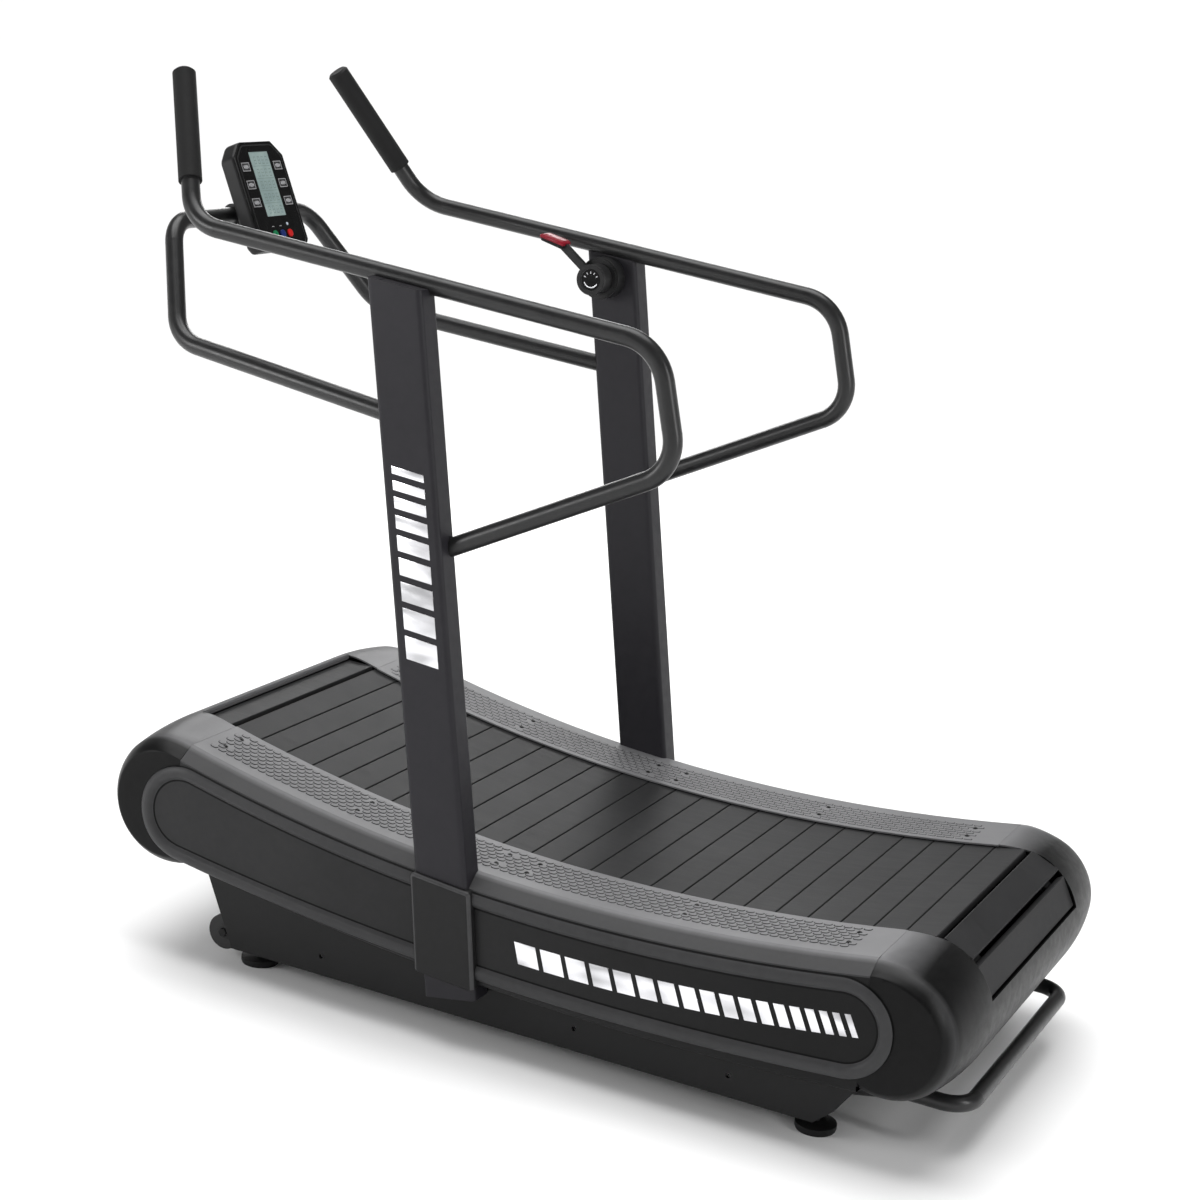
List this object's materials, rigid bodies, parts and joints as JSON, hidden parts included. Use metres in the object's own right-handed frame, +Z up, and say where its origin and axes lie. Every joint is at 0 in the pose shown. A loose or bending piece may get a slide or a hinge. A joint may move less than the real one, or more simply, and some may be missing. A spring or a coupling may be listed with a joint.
{
  "type": "curved manual treadmill",
  "caption": "Motorless treadmill with a concave slat belt, foot rails, side covers, leaning uprights, bent handrails, console and brake lever.",
  "frame": {"origin": "on the floor under the middle of the machine's bounding box", "axes": "+X toward the front (console) end, +Y to the runner's left, +Z up"},
  "size_m": [1.7121, 0.876, 1.5829],
  "materials": {
    "frame_paint": "satin black powder coat",
    "tube_paint": "semi-gloss black powder coat",
    "upright_paint": "fine-textured black powder coat",
    "grip_rubber": "matt foam rubber",
    "console_plastic": "fine textured",
    "panel_plastic": "satin film",
    "display": "liquid crystal window",
    "legend": "printed film",
    "key_green": "gloss",
    "key_blue": "gloss",
    "key_red": "gloss",
    "cover_plastic": "dark grey moulded",
    "cap_plastic": "dark grey moulded",
    "rail_plastic": "mid grey moulded",
    "tread_rubber": "textured mid grey",
    "fastener": "blackened steel",
    "steel": "zinc plated",
    "slat_rubber": "ribbed rubber over a light core",
    "belt_rubber": "reinforced",
    "bearing_steel": "ground",
    "pulley_metal": "dark anodised",
    "flywheel_metal": "turned",
    "magnet_metal": "black",
    "lever_plastic": "fine textured",
    "paddle_plastic": "red",
    "cable_sheath": "sheathed cable",
    "wheel_rubber": "moulded",
    "foot_rubber": "moulded"
  },
  "bodies": {
    "machine": {"side_plate_left": "frame_paint", "side_plate_right": "frame_paint", "inner_plates": "frame_paint", "base_tubes": "frame_paint", "upper_cross_tubes": "frame_paint", "upright_left": "upright_paint", "upright_right": "upright_paint", "upright_bolts": "fastener", "handrail_left": "tube_paint", "handrail_right": "tube_paint", "grips": "grip_rubber", "front_bar": "tube_paint", "console_clamp": "console_plastic", "console_housing": "console_plastic", "console_back": "console_plastic", "console_face": "panel_plastic", "console_display": "display", "console_legends": "legend", "front_cap": "cap_plastic", "rear_cap": "cap_plastic", "foot_rail_left": "rail_plastic", "foot_rail_right": "rail_plastic", "tread_strips": "tread_rubber", "tread_screws": "fastener", "side_cover_left": "cover_plastic", "side_cover_right": "cover_plastic", "sleeves": "cover_plastic", "lift_handle": "tube_paint", "belt_slats": "slat_rubber", "belt_loops": "belt_rubber", "support_bearings": "bearing_steel", "bearing_bolts": "steel", "axle_bearings": "bearing_steel", "brake_belt": "belt_rubber", "brake_mount": "frame_paint", "lever_housing": "lever_plastic", "brake_cable": "cable_sheath", "wheel_brackets": "frame_paint", "wheel_bolts": "fastener", "foot_nuts": "steel"},
    "front_drum": {"front_axle": "steel", "front_pulleys": "pulley_metal", "brake_pulley": "pulley_metal"},
    "rear_drum": {"rear_axle": "steel", "rear_pulleys": "pulley_metal"},
    "brake_wheel": {"flywheel": "flywheel_metal", "flywheel_shaft": "steel", "flywheel_pulley": "pulley_metal"},
    "magnet_yoke": {"brake_magnet": "magnet_metal"},
    "brake_lever": {"lever": "lever_plastic", "lever_paddle": "paddle_plastic"},
    "left_wheel": {"transport_wheel_left": "wheel_rubber"},
    "right_wheel": {"transport_wheel_right": "wheel_rubber"},
    "front_left_foot": {"foot_front_left": "foot_rubber"},
    "front_right_foot": {"foot_front_right": "foot_rubber"},
    "rear_left_foot": {"foot_rear_left": "foot_rubber"},
    "rear_right_foot": {"foot_rear_right": "foot_rubber"},
    "green_key": {"button_green": "key_green"},
    "blue_key": {"button_blue": "key_blue"},
    "red_key": {"button_red": "key_red"}
  },
  "joints": [
    {"name": "front_drum_spin", "type": "hinge", "parent": "machine", "child": "front_drum", "pos_m": [0.663, 0, 0.30676], "axis": [0, 1, 0], "continuous": true},
    {"name": "rear_drum_spin", "type": "hinge", "parent": "machine", "child": "rear_drum", "pos_m": [-0.741, 0, 0.25052], "axis": [0, 1, 0], "continuous": true},
    {"name": "flywheel_spin", "type": "hinge", "parent": "machine", "child": "brake_wheel", "pos_m": [0.493, -0.29, 0.236], "axis": [0, 1, 0], "continuous": true},
    {"name": "brake_lever_turn", "type": "hinge", "parent": "machine", "child": "brake_lever", "pos_m": [0.25, -0.33, 1.24], "axis": [0, -1, 0], "range_deg": [0, 90]},
    {"name": "magnet_swing", "type": "hinge", "parent": "machine", "child": "magnet_yoke", "pos_m": [0.397, -0.294, 0.236], "axis": [0, -1, 0], "range_deg": [0, 13.5]},
    {"name": "left_wheel_roll", "type": "hinge", "parent": "machine", "child": "left_wheel", "pos_m": [0.557, 0.336, 0.05], "axis": [0, 1, 0], "continuous": true},
    {"name": "right_wheel_roll", "type": "hinge", "parent": "machine", "child": "right_wheel", "pos_m": [0.557, -0.336, 0.05], "axis": [0, 1, 0], "continuous": true},
    {"name": "front_left_level", "type": "slide", "parent": "machine", "child": "front_left_foot", "axis": [0, 0, 1], "range_m": [0, 0.012]},
    {"name": "front_right_level", "type": "slide", "parent": "machine", "child": "front_right_foot", "axis": [0, 0, 1], "range_m": [0, 0.012]},
    {"name": "rear_left_level", "type": "slide", "parent": "machine", "child": "rear_left_foot", "axis": [0, 0, 1], "range_m": [0, 0.012]},
    {"name": "rear_right_level", "type": "slide", "parent": "machine", "child": "rear_right_foot", "axis": [0, 0, 1], "range_m": [0, 0.012]},
    {"name": "green_key_press", "type": "slide", "parent": "machine", "child": "green_key", "axis": [0.91, 0, -0.4147], "range_m": [0, 0.0012], "stiffness_N_per_m": 400},
    {"name": "blue_key_press", "type": "slide", "parent": "machine", "child": "blue_key", "axis": [0.91, 0, -0.4147], "range_m": [0, 0.0012], "stiffness_N_per_m": 400},
    {"name": "red_key_press", "type": "slide", "parent": "machine", "child": "red_key", "axis": [0.91, 0, -0.4147], "range_m": [0, 0.0012], "stiffness_N_per_m": 400}
  ],
  "couplings": [
    {"joint": "rear_drum_spin", "follows": "front_drum_spin", "ratio": 1},
    {"joint": "flywheel_spin", "follows": "front_drum_spin", "ratio": 2.2917},
    {"joint": "magnet_swing", "follows": "brake_lever_turn", "ratio": 0.15}
  ]
}
